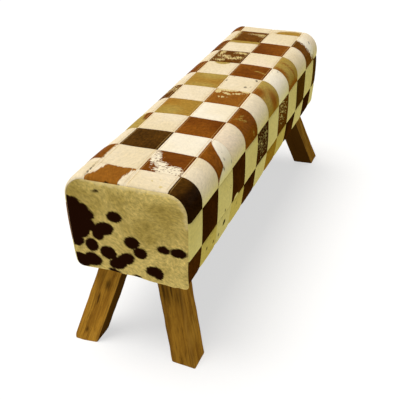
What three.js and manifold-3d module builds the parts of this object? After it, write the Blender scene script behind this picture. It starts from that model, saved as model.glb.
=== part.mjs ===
// A bench in the shape of a pommel horse's body: a padded box on four splayed square legs.
// The box is a plywood carcass with foam on its top, sides and ends. Its cover is patchwork
// hair-on hide: square patches sewn into rows that run over the back from hem to hem, with
// one whole piece of hide on each end. Each leg hangs on a bolt through the bottom board.
//
// Millimetres. +X along the bench, -Y its front, +Z up. The origin is on the floor, under
// the middle of the bench. End -1 is the left end, side -1 is the front.

import * as THREE from "three";
import { mergeVertices } from "three/addons/utils/BufferGeometryUtils.js";
import Module from "manifold-3d";

const wasm = await Module();
wasm.setup();

// Cover and body
const SEAT_HEIGHT = 458;
const BODY_LENGTH = 1125;
const BODY_HEIGHT = 244;
const SHOULDER_HALF_WIDTH = 151;
const BASE_HALF_WIDTH = 141;
const SHOULDER_RADIUS = 54;
const HEM_RADIUS = 16;
const PATCH = 100; // side of one square of hide
const FIRST_ROW = 73.5; // the left-hand row is cut short, and the last takes what is left
const ROW_COUNT = 12;
const HIDE = 3; // skin and hair together
const HEM_WIDTH = 30; // how far the hide is turned under the body

// Padding and carcass
const TOP_FOAM = 55;
const END_FOAM = 20;
const CARCASS_HALF_WIDTH = 127.5;
const PLY = 15;
const BOTTOM_PLY = 12;
const RIB_PLACES = [-260, 0, 260];
const LINING = 0.7; // the black cloth under the bench

// Legs and what holds them
const LEG_SIDE = 59;
const LEG_CHAMFER = 2.5;
const FOOT_X = 551.5; // where a leg's centre line meets the floor
const FOOT_Y = 132.5;
const SPLAY_X = 0.306; // run for each unit of rise
const SPLAY_Y = 0.297;
const BLOCK_SIDE = 72;
const BLOCK_HEIGHT = 46;
const BOLT_RADIUS = 4.9;
const BOLT_IN_LEG = 60;
const BOLT_PROUD = 8;
const WASHER_RADIUS = 15;
const WASHER_HEIGHT = 2.5;
const NUT_ACROSS_FLATS = 17;
const NUT_HEIGHT = 8;
const BORE_RADIUS = 5.35; // for the bolt, in wood and in steel

const GAP = 0.3; // kept between pieces that touch
const ROUND_SIDES = 16;
const CURVE_STEPS = 8;
const FAR = 2000; // longer than anything here, for cutting

// Levels and places worked out from those
const BODY_BASE = SEAT_HEIGHT - BODY_HEIGHT;
const PANEL_INNER = BODY_LENGTH / 2 - HIDE;
const FOAM_END = PANEL_INNER - GAP;
const CARCASS_END = FOAM_END - END_FOAM - GAP;
const BOARD_BASE = BODY_BASE + HIDE + GAP;
const BOARD_TOP = BOARD_BASE + BOTTOM_PLY;
const FOAM_BASE = SEAT_HEIGHT - HIDE - GAP - TOP_FOAM;
const TOP_BOARD_BASE = FOAM_BASE - GAP - PLY;
const HEM_EDGE = BASE_HALF_WIDTH - HEM_WIDTH;
const SLOPE = Math.hypot(SPLAY_X, SPLAY_Y, 1); // length along a leg for each unit of rise
const LEG_TOP = BOARD_BASE - GAP;
const BLOCK_TOP = (BOARD_TOP + GAP) * SLOPE + BLOCK_HEIGHT; // measured along the leg

const finish = (color, roughness, metalness = 0) =>
  new THREE.MeshStandardMaterial({ color, roughness, metalness });
const PATCHWORK_HIDE = finish(0xb98a55, 0.85);
const END_HIDE = finish(0xb8a366, 0.9);
const FOAM = finish(0xe6d9a8, 0.95);
const PLYWOOD = finish(0xc9a36b, 0.8);
const LEG_WOOD = finish(0x8a5f22, 0.5);
const BLOCK_WOOD = finish(0xa67c45, 0.7);
const ZINC = finish(0xb4b7b9, 0.35, 0.9);
const LINING_CLOTH = finish(0x17171a, 0.95);

const bench = new THREE.Group();

// ---- Solids ---------------------------------------------------------------------------

function solid(geometry) {
  const bare = new THREE.BufferGeometry();
  const loose = geometry.index ? geometry.toNonIndexed() : geometry;
  bare.setAttribute("position", loose.getAttribute("position"));
  const merged = mergeVertices(bare, 1e-3);
  return new wasm.Manifold(
    new wasm.Mesh({
      numProp: 3,
      vertProperties: merged.attributes.position.array,
      triVerts: new Uint32Array(merged.index.array),
    }),
  );
}

function geometryOf(made) {
  const { vertProperties, triVerts } = made.getMesh();
  return new THREE.BufferGeometry()
    .setAttribute("position", new THREE.BufferAttribute(vertProperties, 3))
    .setIndex(new THREE.BufferAttribute(triVerts, 1));
}

function box(low, high) {
  const size = high.map((value, axis) => value - low[axis]);
  const middle = high.map((value, axis) => (value + low[axis]) / 2);
  return solid(new THREE.BoxGeometry(...size).translate(...middle));
}

// A round or many-sided bar along Z, from one height to another.
function bar(radius, from, to, sides = ROUND_SIDES) {
  const geometry = new THREE.CylinderGeometry(radius, radius, to - from, sides);
  return solid(geometry.rotateX(Math.PI / 2).translate(0, 0, (from + to) / 2));
}

function addPiece(parent, name, made, material) {
  const mesh = new THREE.Mesh(geometryOf(made), material);
  mesh.name = name;
  parent.add(mesh);
  return mesh;
}

// ---- The body's cross-section ----------------------------------------------------------

// The closed outline of the body, taken in all round. Its X is the bench's Y, its Y is the height.
function bodyShape(inset) {
  const wide = SHOULDER_HALF_WIDTH - inset;
  const narrow = BASE_HALF_WIDTH - inset;
  const top = SEAT_HEIGHT - inset;
  const base = BODY_BASE + inset;
  const round = SHOULDER_RADIUS - inset;
  const tuck = HEM_RADIUS - inset;
  const middle = (top + base) / 2;
  return new THREE.Shape()
    .moveTo(tuck - narrow, base)
    .lineTo(narrow - tuck, base)
    .absarc(narrow - tuck, base + tuck, tuck, -Math.PI / 2, 0, false)
    .quadraticCurveTo(wide, middle, wide, top - round)
    .absarc(wide - round, top - round, round, 0, Math.PI / 2, false)
    .lineTo(round - wide, top)
    .absarc(round - wide, top - round, round, Math.PI / 2, Math.PI, false)
    .quadraticCurveTo(-wide, middle, -narrow, base + tuck)
    .absarc(tuck - narrow, base + tuck, tuck, Math.PI, 1.5 * Math.PI, false);
}

// A length of the body, taken in all round, between two places along the bench.
function bodyLength(inset, from, to) {
  const geometry = new THREE.ExtrudeGeometry(bodyShape(inset), {
    depth: to - from,
    bevelEnabled: false,
    curveSegments: CURVE_STEPS,
  });
  const y = new THREE.Vector3(0, 1, 0);
  const z = new THREE.Vector3(0, 0, 1);
  const x = new THREE.Vector3(1, 0, 0);
  return solid(
    geometry
      .applyMatrix4(new THREE.Matrix4().makeBasis(y, z, x))
      .translate(from, 0, 0),
  );
}

// ---- Cover -----------------------------------------------------------------------------

// The seams between rows, and the cover's two ends.
function rowEdges() {
  const left = -BODY_LENGTH / 2;
  const seams = Array.from(
    { length: ROW_COUNT - 1 },
    (_, row) => left + FIRST_ROW + row * PATCH,
  );
  return [-FOAM_END - GAP / 2, ...seams, FOAM_END + GAP / 2];
}

function addPatchRows() {
  const edges = rowEdges();
  for (let row = 0; row < ROW_COUNT; row += 1) {
    const from = edges[row] + GAP / 2;
    const to = edges[row + 1] - GAP / 2;
    const band = bodyLength(0, from, to)
      .subtract(bodyLength(HIDE, -FAR, FAR))
      .subtract(box([-FAR, -HEM_EDGE, 0], [FAR, HEM_EDGE, BOARD_BASE]));
    const name = `patch_row_${String(row + 1).padStart(2, "0")}`;
    addPiece(bench, name, band, PATCHWORK_HIDE);
  }
}

function addEndPanels() {
  const plate = bodyLength(0, 0, HIDE);
  const turnedUnder = box(
    [-HEM_WIDTH, -HEM_EDGE + GAP, BODY_BASE],
    [HIDE / 2, HEM_EDGE - GAP, BODY_BASE + HIDE],
  );
  const panel = plate.add(turnedUnder);
  for (const [name, turn] of [
    ["end_panel_left", Math.PI],
    ["end_panel_right", 0],
  ]) {
    const mesh = addPiece(bench, name, panel, END_HIDE);
    mesh.rotation.z = turn;
    mesh.position.x = Math.cos(turn) * PANEL_INNER;
  }
}

function addLining(legHoles) {
  const halfLength = BODY_LENGTH / 2 - HEM_RADIUS;
  const halfWidth = BASE_HALF_WIDTH - HEM_RADIUS;
  const high = BODY_BASE - GAP;
  const cloth = box(
    [-halfLength, -halfWidth, high - LINING],
    [halfLength, halfWidth, high],
  );
  const cut = legHoles.reduce((left, hole) => left.subtract(hole), cloth);
  addPiece(bench, "bottom_lining", cut, LINING_CLOTH);
}

// ---- Padding ---------------------------------------------------------------------------

function addFoam() {
  const core = bodyLength(HIDE + GAP, -FOAM_END, FOAM_END);
  const overTop = box([-FAR, -FAR, FOAM_BASE], [FAR, FAR, FAR]);
  addPiece(bench, "foam_top", core.intersect(overTop), FOAM);

  const belowTop = FOAM_BASE - GAP;
  const inner = CARCASS_HALF_WIDTH + GAP;
  const front = box([-FAR, -FAR, 0], [FAR, -inner, belowTop]);
  const back = box([-FAR, inner, 0], [FAR, FAR, belowTop]);
  addPiece(bench, "foam_front", core.intersect(front), FOAM);
  addPiece(bench, "foam_back", core.intersect(back), FOAM);

  const pad = box(
    [-END_FOAM / 2, -CARCASS_HALF_WIDTH, BOARD_BASE],
    [END_FOAM / 2, CARCASS_HALF_WIDTH, belowTop],
  );
  for (const [name, end] of [
    ["foam_end_left", -1],
    ["foam_end_right", 1],
  ]) {
    addPiece(bench, name, pad, FOAM).position.x = end * (FOAM_END - END_FOAM / 2);
  }
}

// ---- Carcass ---------------------------------------------------------------------------

function addCarcass(boltHoles) {
  const boardHalf = PLY / 2;
  const low = BOARD_TOP + GAP;
  const high = TOP_BOARD_BASE - GAP;
  const inside = CARCASS_HALF_WIDTH - PLY - GAP;

  const topBoard = box(
    [-CARCASS_END, -CARCASS_HALF_WIDTH, TOP_BOARD_BASE],
    [CARCASS_END, CARCASS_HALF_WIDTH, TOP_BOARD_BASE + PLY],
  );
  addPiece(bench, "top_board", topBoard, PLYWOOD);

  const bottomBoard = box(
    [-CARCASS_END, -CARCASS_HALF_WIDTH, BOARD_BASE],
    [CARCASS_END, CARCASS_HALF_WIDTH, BOARD_TOP],
  );
  const drilled = boltHoles.reduce((left, hole) => left.subtract(hole), bottomBoard);
  addPiece(bench, "bottom_board", drilled, PLYWOOD);

  const sideBoard = box([-CARCASS_END, -boardHalf, low], [CARCASS_END, boardHalf, high]);
  for (const [name, side] of [
    ["side_board_front", -1],
    ["side_board_back", 1],
  ]) {
    const board = addPiece(bench, name, sideBoard, PLYWOOD);
    board.position.y = side * (CARCASS_HALF_WIDTH - boardHalf);
  }

  const crossBoard = box([-boardHalf, -inside, low], [boardHalf, inside, high]);
  const endPlace = CARCASS_END - boardHalf;
  for (const [name, place] of [
    ["end_board_left", -endPlace],
    ["end_board_right", endPlace],
    ...RIB_PLACES.map((place, index) => [`rib_${index + 1}`, place]),
  ]) {
    addPiece(bench, name, crossBoard, PLYWOOD).position.x = place;
  }
}

// ---- Legs and fittings -------------------------------------------------------------------

// A group whose Z runs up the leg's centre line from the floor.
function cornerFrame(end, side) {
  const up = new THREE.Vector3(-end * SPLAY_X, -side * SPLAY_Y, 1).normalize();
  const across = new THREE.Vector3(1, 0, 0).projectOnPlane(up).normalize();
  const through = up.clone().cross(across);
  const frame = new THREE.Group();
  frame.quaternion.setFromRotationMatrix(
    new THREE.Matrix4().makeBasis(across, through, up),
  );
  frame.position.set(end * FOOT_X, side * FOOT_Y, 0);
  frame.updateMatrix();
  bench.add(frame);
  return frame;
}

// Square timber along the leg, with its long edges taken off.
function timber(side, chamfer, from, to) {
  const half = side / 2;
  const flat = half - chamfer;
  const section = new THREE.Shape([
    new THREE.Vector2(-flat, -half),
    new THREE.Vector2(flat, -half),
    new THREE.Vector2(half, -flat),
    new THREE.Vector2(half, flat),
    new THREE.Vector2(flat, half),
    new THREE.Vector2(-flat, half),
    new THREE.Vector2(-half, flat),
    new THREE.Vector2(-half, -flat),
  ]);
  const geometry = new THREE.ExtrudeGeometry(section, {
    depth: to - from,
    bevelEnabled: false,
  });
  return solid(geometry.translate(0, 0, from));
}

// Everything between two heights above the floor, seen from a corner's own frame.
function between(frame, low, high) {
  const slab = new THREE.BoxGeometry(FAR, FAR, high - low);
  const inFrame = frame.matrix.clone().invert();
  return solid(slab.translate(0, 0, (low + high) / 2).applyMatrix4(inFrame));
}

function inBench(frame, made) {
  return solid(geometryOf(made).applyMatrix4(frame.matrix));
}

function addCorner(end, side) {
  const place = `${side < 0 ? "front" : "back"}_${end < 0 ? "left" : "right"}`;
  const frame = cornerFrame(end, side);
  const legTop = LEG_TOP * SLOPE;
  const bore = bar(BORE_RADIUS, legTop - BOLT_IN_LEG - GAP, BLOCK_TOP + PATCH);

  const leg = timber(LEG_SIDE, LEG_CHAMFER, -PATCH, legTop + PATCH)
    .intersect(between(frame, 0, LEG_TOP))
    .subtract(bore);
  addPiece(frame, `leg_${place}`, leg, LEG_WOOD);

  const block = timber(BLOCK_SIDE, LEG_CHAMFER, legTop, BLOCK_TOP)
    .intersect(between(frame, BOARD_TOP + GAP, FAR))
    .subtract(bore);
  addPiece(frame, `leg_block_${place}`, block, BLOCK_WOOD);

  const washerBase = BLOCK_TOP + GAP;
  const washer = bar(WASHER_RADIUS, 0, WASHER_HEIGHT).subtract(
    bar(BORE_RADIUS, -1, WASHER_HEIGHT + 1),
  );
  addPiece(frame, `leg_washer_${place}`, washer, ZINC).position.z = washerBase;

  const nutBase = washerBase + WASHER_HEIGHT + GAP;
  const nutRadius = NUT_ACROSS_FLATS / 2 / Math.cos(Math.PI / 6);
  const nut = bar(nutRadius, 0, NUT_HEIGHT, 6).subtract(
    bar(BORE_RADIUS, -1, NUT_HEIGHT + 1),
  );
  addPiece(frame, `leg_nut_${place}`, nut, ZINC).position.z = nutBase;

  const boltBase = legTop - BOLT_IN_LEG;
  const bolt = bar(BOLT_RADIUS, 0, nutBase + NUT_HEIGHT + BOLT_PROUD - boltBase);
  addPiece(frame, `leg_bolt_${place}`, bolt, ZINC).position.z = boltBase;

  const clearance = 2;
  return {
    boltHole: inBench(frame, bore),
    legHole: inBench(
      frame,
      timber(LEG_SIDE + clearance, LEG_CHAMFER, 0, legTop + PATCH),
    ),
  };
}

// ---- Assembly --------------------------------------------------------------------------

const corners = [-1, 1].flatMap((end) => [-1, 1].map((side) => addCorner(end, side)));
addCarcass(corners.map((corner) => corner.boltHole));
addFoam();
addPatchRows();
addEndPanels();
addLining(corners.map((corner) => corner.legHole));

export default bench;
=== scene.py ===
"""The looks of the pommel horse bench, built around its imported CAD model.

Metres. +X runs along the bench, -Y is its front, +Z is up, and the floor is at 0.
The cover is worked out on two coordinates: x along the bench, and t, the distance round the
body from the middle line of the seat, negative towards the front hem.
"""

import math
from collections import namedtuple

import bpy
import numpy as np
from mathutils import Matrix, Vector
from mathutils.geometry import delaunay_2d_cdt


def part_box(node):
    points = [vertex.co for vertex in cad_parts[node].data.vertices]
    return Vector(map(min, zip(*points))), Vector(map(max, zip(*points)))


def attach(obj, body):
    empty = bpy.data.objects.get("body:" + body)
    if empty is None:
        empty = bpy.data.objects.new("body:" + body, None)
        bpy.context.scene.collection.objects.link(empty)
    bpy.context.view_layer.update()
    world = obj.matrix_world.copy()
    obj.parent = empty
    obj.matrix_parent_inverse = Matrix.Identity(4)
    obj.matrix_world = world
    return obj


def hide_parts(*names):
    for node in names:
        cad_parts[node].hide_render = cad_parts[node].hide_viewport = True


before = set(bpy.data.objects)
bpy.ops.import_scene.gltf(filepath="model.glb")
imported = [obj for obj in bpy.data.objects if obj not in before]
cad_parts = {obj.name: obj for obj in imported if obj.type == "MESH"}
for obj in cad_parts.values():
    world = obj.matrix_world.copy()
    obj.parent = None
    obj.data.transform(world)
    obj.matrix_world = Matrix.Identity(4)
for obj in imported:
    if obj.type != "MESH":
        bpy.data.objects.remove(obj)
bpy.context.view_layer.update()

MM = 0.001

# ---- Sizes ----

PATCH = 0.1
COLUMNS = 8  # patches round the body, from the front hem to the back one
BODY_LOW, BODY_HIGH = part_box("patch_row_06")
SEAT = BODY_HIGH.z
BASE = BODY_LOW.z
HALF_WIDTH = BODY_HIGH.y
BASE_HALF_WIDTH = HALF_WIDTH - 10 * MM
SHOULDER = 54 * MM  # radius
TUCK = 16 * MM  # radius of the turn under the body
HEM_EDGE = BASE_HALF_WIDTH - 30 * MM
HIDE = 2.6 * MM
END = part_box("end_panel_right")[1].x
# How the cover rolls over each end of the body: its radius at distances t round it.
END_ROUND = (
    (-0.395, 6 * MM), (-0.30, 6.5 * MM), (-0.24, 9 * MM), (-0.165, 13 * MM), (-0.10, 9.5 * MM),
    (0.08, 9.5 * MM), (0.125, 4.5 * MM), (0.165, 2.0 * MM), (0.395, 2.0 * MM),
)
END_TURN = 1.25  # radians it rolls through before its seam with the end panel

CROWN = 3.2 * MM  # the most that the padding swells the skin
PUFF = 1.1 * MM  # each patch's own fullness
PUFF_REACH = 17 * MM
OVERFILL = 4.5 * MM
SEAM_DEPTH = 1.3 * MM
SEAM_WIDTH = 1.7 * MM
END_STRETCH = 24 * MM  # the last of the cover, which is drawn over the roll to its seam
PANEL_RINGS = np.array([-1.0, 0.0, 1.0, 2.2, 3.7, 5.5, 7.6, 10.0]) * MM  # in from its seam
FRINGE = 1.3 * MM  # how far the panel's hair hangs over its seam
PANEL_RISE = 5.0 * MM
PANEL_ROLL = 4.0 * MM
PANEL_CROWN = 2.6 * MM
PANEL_BACK = 3.0 * MM  # behind the face of the body's end
SEAM_SET = 2.0 * MM
WHORL = (60, 150)  # where the left panel's hair turns, in millimetres across and up
WHORL_REACH = 90
STITCH_OFFSET = 4.5 * MM
STITCH_SEAMS = (-PATCH, 0.0, PATCH)
STITCH_PITCH = 4.2 * MM
DIMPLE = 0.35 * MM  # how far the stitches pull the skin in
DIMPLE_WIDTH = 1.6 * MM
UNEVEN = 0.7 * MM  # the padding's slow ups and downs
FAR = 1.0  # a distance that no marking reaches

# ---- Small tools ----


def new_mesh(name, points, faces, smooth=True):
    mesh = bpy.data.meshes.new(name)
    mesh.from_pydata(np.asarray(points).tolist(), [], faces)
    mesh.polygons.foreach_set("use_smooth", [smooth] * len(mesh.polygons))
    mesh.validate()
    mesh.update()
    return mesh


def new_piece(name, mesh, replaces=()):
    piece = bpy.data.objects.new(name, mesh)
    bpy.context.scene.collection.objects.link(piece)
    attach(piece, "root")
    if replaces:
        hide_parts(*replaces)
    return piece


def tube_faces(start, rings, around):
    """The faces of a tube with flat ends, whose rings of points are numbered from start."""
    last = start + (rings - 1) * around
    faces = []
    for low in range(start, last, around):
        for i in range(around):
            j = (i + 1) % around
            faces.append([low + i, low + j, low + around + j, low + around + i])
    return [*faces, list(range(start + around - 1, start - 1, -1)), list(range(last, last + around))]


def set_values(mesh, name, values, kind="FLOAT", domain="POINT"):
    """Stores an attribute for a material to read."""
    made = mesh.attributes.new(name, kind, domain)
    made.data.foreach_set("value" if kind == "FLOAT" else "vector", np.asarray(values, np.float32).ravel())


def waves(a, b, seed, length, count=7):
    """Smooth, seeded unevenness from -1 to 1 or so, with bumps about that length."""
    draw = np.random.default_rng(seed)
    total = np.zeros(np.broadcast(a, b).shape)
    for _ in range(count):
        turn = draw.uniform(0, math.tau)
        pitch = math.tau / (length * draw.uniform(0.7, 1.6))
        along = (a * math.cos(turn) + b * math.sin(turn)) * pitch
        total += np.sin(along + draw.uniform(0, math.tau))
    return total / math.sqrt(count * 2)


def smooth_step(value):
    value = np.clip(value, 0, 1)
    return value * value * (3 - 2 * value)


def eased(value, *knots):
    """The amount at a value, easing from one (value, amount) knot to the next."""
    places, amounts = np.array(knots).T
    at = np.interp(value, places, np.arange(len(places)))
    low = np.clip(np.floor(at).astype(int), 0, len(places) - 2)
    return amounts[low] + (amounts[low + 1] - amounts[low]) * smooth_step(at - low)


# ---- The body's outline ----


def half_outline(step=0.5 * MM, arc_points=90):
    """Points and outward normals round the back half, evenly spaced from the seat's middle."""
    shoulder_y, tuck_y = HALF_WIDTH - SHOULDER, BASE_HALF_WIDTH - TUCK
    quarter = np.linspace(0, math.pi / 2, arc_points)
    top = np.array([[0, SEAT], [shoulder_y, SEAT]])
    shoulder = np.array([shoulder_y, SEAT - SHOULDER])
    shoulder = shoulder + SHOULDER * np.stack([np.sin(quarter), np.cos(quarter)], 1)
    share = np.linspace(0, 1, arc_points)[:, None]
    high = np.array([HALF_WIDTH, SEAT - SHOULDER])
    middle = np.array([HALF_WIDTH, (SEAT + BASE) / 2])
    low = np.array([BASE_HALF_WIDTH, BASE + TUCK])
    side = (1 - share) ** 2 * high + 2 * share * (1 - share) * middle + share**2 * low
    tuck = np.array([tuck_y, BASE + TUCK]) + TUCK * np.stack([np.cos(quarter), -np.sin(quarter)], 1)
    under = np.array([[HEM_EDGE, BASE]])
    line = np.concatenate([top, shoulder[1:], side[1:], tuck[1:], [[tuck_y, BASE]], under])
    run = np.concatenate([[0], np.cumsum(np.linalg.norm(np.diff(line, axis=0), axis=1))])
    even = np.linspace(0, run[-1], int(run[-1] / step))
    points = np.stack([np.interp(even, run, line[:, axis]) for axis in (0, 1)], 1)
    along = np.gradient(points, axis=0)
    normals = np.stack([-along[:, 1], along[:, 0]], 1)
    normals[0] = 0, 1
    normals /= np.linalg.norm(normals, axis=1, keepdims=True)
    return even, points, normals


RUN, OUTLINE, NORMALS = half_outline()
HEM_T = RUN[-1]
COLUMN_EDGES = np.array([-HEM_T, *(PATCH * column for column in range(-3, 4)), HEM_T])


def outline(t, inset=0.0):
    """(y, z) at t, taken in by inset, with the outward normal."""
    t = np.asarray(t, float)
    side = np.where(t < 0, -1.0, 1.0)
    at = np.abs(t)
    y, z = (np.interp(at, RUN, OUTLINE[:, axis]) for axis in (0, 1))
    ny, nz = (np.interp(at, RUN, NORMALS[:, axis]) for axis in (0, 1))
    return side * (y - inset * ny), z - inset * nz, side * ny, nz


def end_round(t):
    return eased(t, *END_ROUND)


def on_body(t, x, lift):
    """Points of the cover, that far out from its outline; x past the ends follows the roll."""
    t, x = np.broadcast_arrays(t, x)
    radius = end_round(t)
    angle = np.maximum(np.abs(x) - (END - radius), 0) / radius
    y, z, ny, nz = outline(t, radius * (1 - np.cos(angle)))
    level = np.sign(x) * (np.minimum(np.abs(x), END - radius) + radius * np.sin(angle))
    out = lift * np.cos(angle)
    return np.stack([level + np.sign(x) * lift * np.sin(angle), y + ny * out, z + nz * out], -1)


def overfill(t, x):
    """The padding is packed fuller at the back of the left end."""
    round_body = eased(t, (0.05, 0), (0.14, 1), (0.34, 1), (0.39, 0))
    return OVERFILL * round_body * smooth_step((-0.25 - np.asarray(x)) / 0.25)


def seam_at(t):
    """The cover's x, measured over the roll, at its seam with the end panel."""
    return END + end_round(t) * (END_TURN - 1)


# ---- Cloth simulation ----


def inflate(points, faces, pinned, cap, pressure=4.0, frames=20):
    """Swells a skin under pressure with its pinned points held, and returns how far each moved."""
    mesh = new_mesh("swelling", points, faces)
    skin = bpy.data.objects.new("swelling", mesh)
    scene = bpy.context.scene
    scene.collection.objects.link(skin)
    held = skin.vertex_groups.new(name="held")
    held.add([int(i) for i in np.flatnonzero(pinned)], 1.0, "REPLACE")
    cloth = skin.modifiers.new("cloth", "CLOTH")
    settings = cloth.settings
    settings.quality = 6
    settings.mass = 0.4
    settings.tension_stiffness = 60
    settings.compression_stiffness = 60
    settings.shear_stiffness = 30
    settings.bending_stiffness = 12
    settings.use_pressure = True
    settings.uniform_pressure_force = pressure
    settings.vertex_group_mass = "held"
    settings.effector_weights.gravity = 0
    cloth.collision_settings.use_collision = False
    cloth.point_cache.frame_start = 1
    cloth.point_cache.frame_end = frames
    for step in range(1, frames + 1):
        scene.frame_set(step)
    swollen = skin.evaluated_get(bpy.context.evaluated_depsgraph_get()).data
    moved = np.zeros(len(points) * 3, np.float32)
    swollen.vertices.foreach_get("co", moved)
    moved = moved.reshape(-1, 3).astype(float) - np.asarray(points)
    bpy.data.objects.remove(skin)
    bpy.data.meshes.remove(mesh)
    scene.frame_set(1)
    return moved * cap / max(np.linalg.norm(moved, axis=1).max(), cap)


def grid_faces(rows, columns):
    j, k = np.meshgrid(np.arange(rows - 1), np.arange(columns - 1), indexing="ij")
    at = (j * columns + k).ravel()
    return np.stack([at, at + 1, at + columns + 1, at + columns], 1)


CAGE_T = np.linspace(-HEM_T, HEM_T, 80)
CAGE_X = np.linspace(-END + 8 * MM, END - 8 * MM, 112)


def swell_cover():
    """How far the padding lifts the cover at each point of the cage."""
    t, x = np.meshgrid(CAGE_T, CAGE_X, indexing="ij")
    start = on_body(t, x, 0.0)
    pinned = (np.abs(x) > CAGE_X[-1] - MM) | (np.abs(t) > HEM_T - 12 * MM)
    moved = inflate(start.reshape(-1, 3), grid_faces(*t.shape).tolist(), pinned.ravel(), CROWN)
    _, _, ny, nz = outline(t)
    moved = moved.reshape(*t.shape, 3)
    return moved[..., 1] * ny + moved[..., 2] * nz


COVER_SWELL = swell_cover()


def cover_swell(t, x):
    """The cage's lift at any t and x."""
    t, x = np.broadcast_arrays(t, x)
    a = np.interp(t, CAGE_T, np.arange(len(CAGE_T)))
    b = np.interp(x, CAGE_X, np.arange(len(CAGE_X)))
    j = np.clip(a.astype(int), 0, len(CAGE_T) - 2)
    k = np.clip(b.astype(int), 0, len(CAGE_X) - 2)
    a, b = a - j, b - k
    field = COVER_SWELL
    near = field[j, k] * (1 - b) + field[j, k + 1] * b
    far = field[j + 1, k] * (1 - b) + field[j + 1, k + 1] * b
    return near * (1 - a) + far * a


# ---- The cover's surface ----


def row_edges():
    """Where each row of patches starts and ends along the bench."""
    boxes = [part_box(f"patch_row_{row:02d}") for row in range(1, 13)]
    edges = [[low.x, high.x] for low, high in boxes]
    edges[0][0], edges[-1][1] = -END, END
    return edges


ROW_EDGES = row_edges()
ROW_SEAMS = np.array([high for _, high in ROW_EDGES[:-1]])


def to_nearest(value, lines):
    return np.abs(np.asarray(value)[..., None] - np.asarray(lines)).min(-1)


def skin_lift(t, x):
    """How far out the skin stands from its inset outline, seams and fullness included."""
    to_row = np.minimum(to_nearest(x, ROW_SEAMS), np.abs(seam_at(t) - np.abs(x)))
    to_column = to_nearest(t, COLUMN_EDGES)
    full = smooth_step(to_row / PUFF_REACH) * smooth_step(to_column / PUFF_REACH)
    valley = np.exp(-((np.minimum(to_row, to_column) / SEAM_WIDTH) ** 2))
    to_stitch = np.abs(to_nearest(t, STITCH_SEAMS) - STITCH_OFFSET)
    dimple = DIMPLE * np.exp(-((to_stitch / DIMPLE_WIDTH) ** 2))
    uneven = UNEVEN * waves(t, x, 3, 0.16) * smooth_step((HEM_T - np.abs(t)) / 0.06)
    return cover_swell(t, x) + overfill(t, x) + PUFF * full - SEAM_DEPTH * valley - dimple + uneven


def graded(low, high, count=30, near=0.45 * MM):
    """Places from low to high, close together at both ends."""
    share = np.linspace(-1, 1, count + 1)
    bent = np.sign(share) * (1 - (1 - np.abs(share)) ** 1.55)
    places = low + (bent / np.abs(bent).max() + 1) / 2 * (high - low)
    return np.unique(np.concatenate([places, [low + near, high - near]]))


# ---- Hide: colours and markings ----

# What each kind of hide is coloured like: two tones that drift into each other, and how much
# the hair's own streaks show.
Coat = namedtuple("Coat", "tone other streak")
COATS = {
    "C": Coat((0.90, 0.77, 0.55), (0.84, 0.70, 0.45), 0.09),
    "B": Coat((0.97, 0.88, 0.70), (0.93, 0.82, 0.60), 0.06),
    "P": Coat((0.91, 0.755, 0.55), (0.86, 0.73, 0.47), 0.09),
    "T": Coat((0.78, 0.62, 0.30), (0.68, 0.52, 0.20), 0.14),
    "O": Coat((0.32, 0.118, 0.013), (0.26, 0.085, 0.009), 0.20),
    "R": Coat((0.255, 0.080, 0.007), (0.165, 0.044, 0.004), 0.26),
    "D": Coat((0.085, 0.025, 0.003), (0.040, 0.011, 0.0015), 0.30),
    "K": Coat((0.105, 0.042, 0.005), (0.060, 0.024, 0.003), 0.42),
    "M": Coat((0.185, 0.066, 0.007), (0.125, 0.042, 0.004), 0.40),
    "N": Coat((0.026, 0.010, 0.002), (0.010, 0.003, 0.001), 0.40),
    "A": Coat((0.385, 0.178, 0.022), (0.41, 0.230, 0.036), 0.18),
    "G": Coat((0.40, 0.25, 0.042), (0.46, 0.32, 0.075), 0.18),
    "E": Coat((0.70, 0.53, 0.180), (0.42, 0.300, 0.075), 0.28),
}
SPOT_COAT = (0.016, 0.004, 0.001)
SIDE_SHADE_TINT = (0.82, 0.83, 0.38)  # painted shade: the yellow-olive that the shoulders and sides are tinted, times the coat
THREAD_COLOUR = (0.60, 0.38, 0.11)

# The cover, patch by patch: one line for each row from the left end, one letter for each patch
# from the front hem over the seat to the back hem.
LAYOUT = (
    "DCNCOCRC",
    "TDCRCRCK",
    "CCRBKCRC",
    "TDPRCGCD",
    "DCRBACKC",
    "CDCOCMCR",
    "ACGCACRC",
    "TMBRCRCA",
    "DCGPMCKC",
    "CKCRCRCD",
    "DCMCMCRC",
    "CKCCCRCK",
)

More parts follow.
